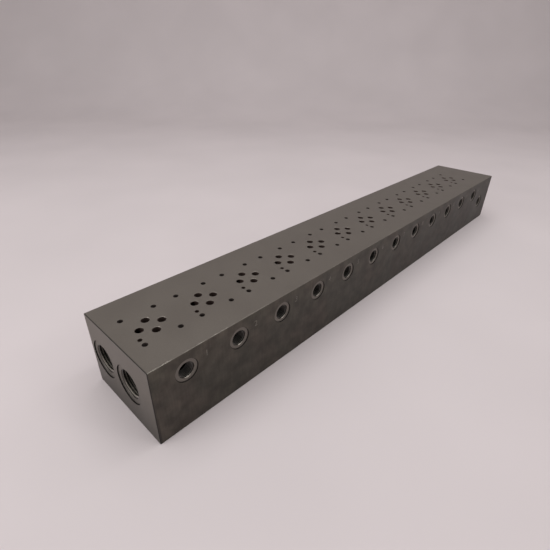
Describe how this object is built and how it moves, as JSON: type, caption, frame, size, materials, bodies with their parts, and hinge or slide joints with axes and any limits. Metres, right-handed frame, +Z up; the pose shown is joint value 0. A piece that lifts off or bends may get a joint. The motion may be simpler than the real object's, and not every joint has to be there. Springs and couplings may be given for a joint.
{
  "type": "hydraulic manifold block",
  "caption": "Long rectangular steel hydraulic bar manifold with a row of valve patterns on top, threaded ports along both sides and two large ports in each end.",
  "frame": {"origin": "centre of the underside", "axes": "+X along the bar from the near end to the far end, +Y from the front side with the extra port to the rear side, +Z up, out of the valve face"},
  "size_m": [0.7048, 0.1016, 0.0762],
  "materials": {
    "steel_block": "satin"
  },
  "bodies": {
    "root": {"manifold_block": "steel_block"}
  },
  "joints": []
}
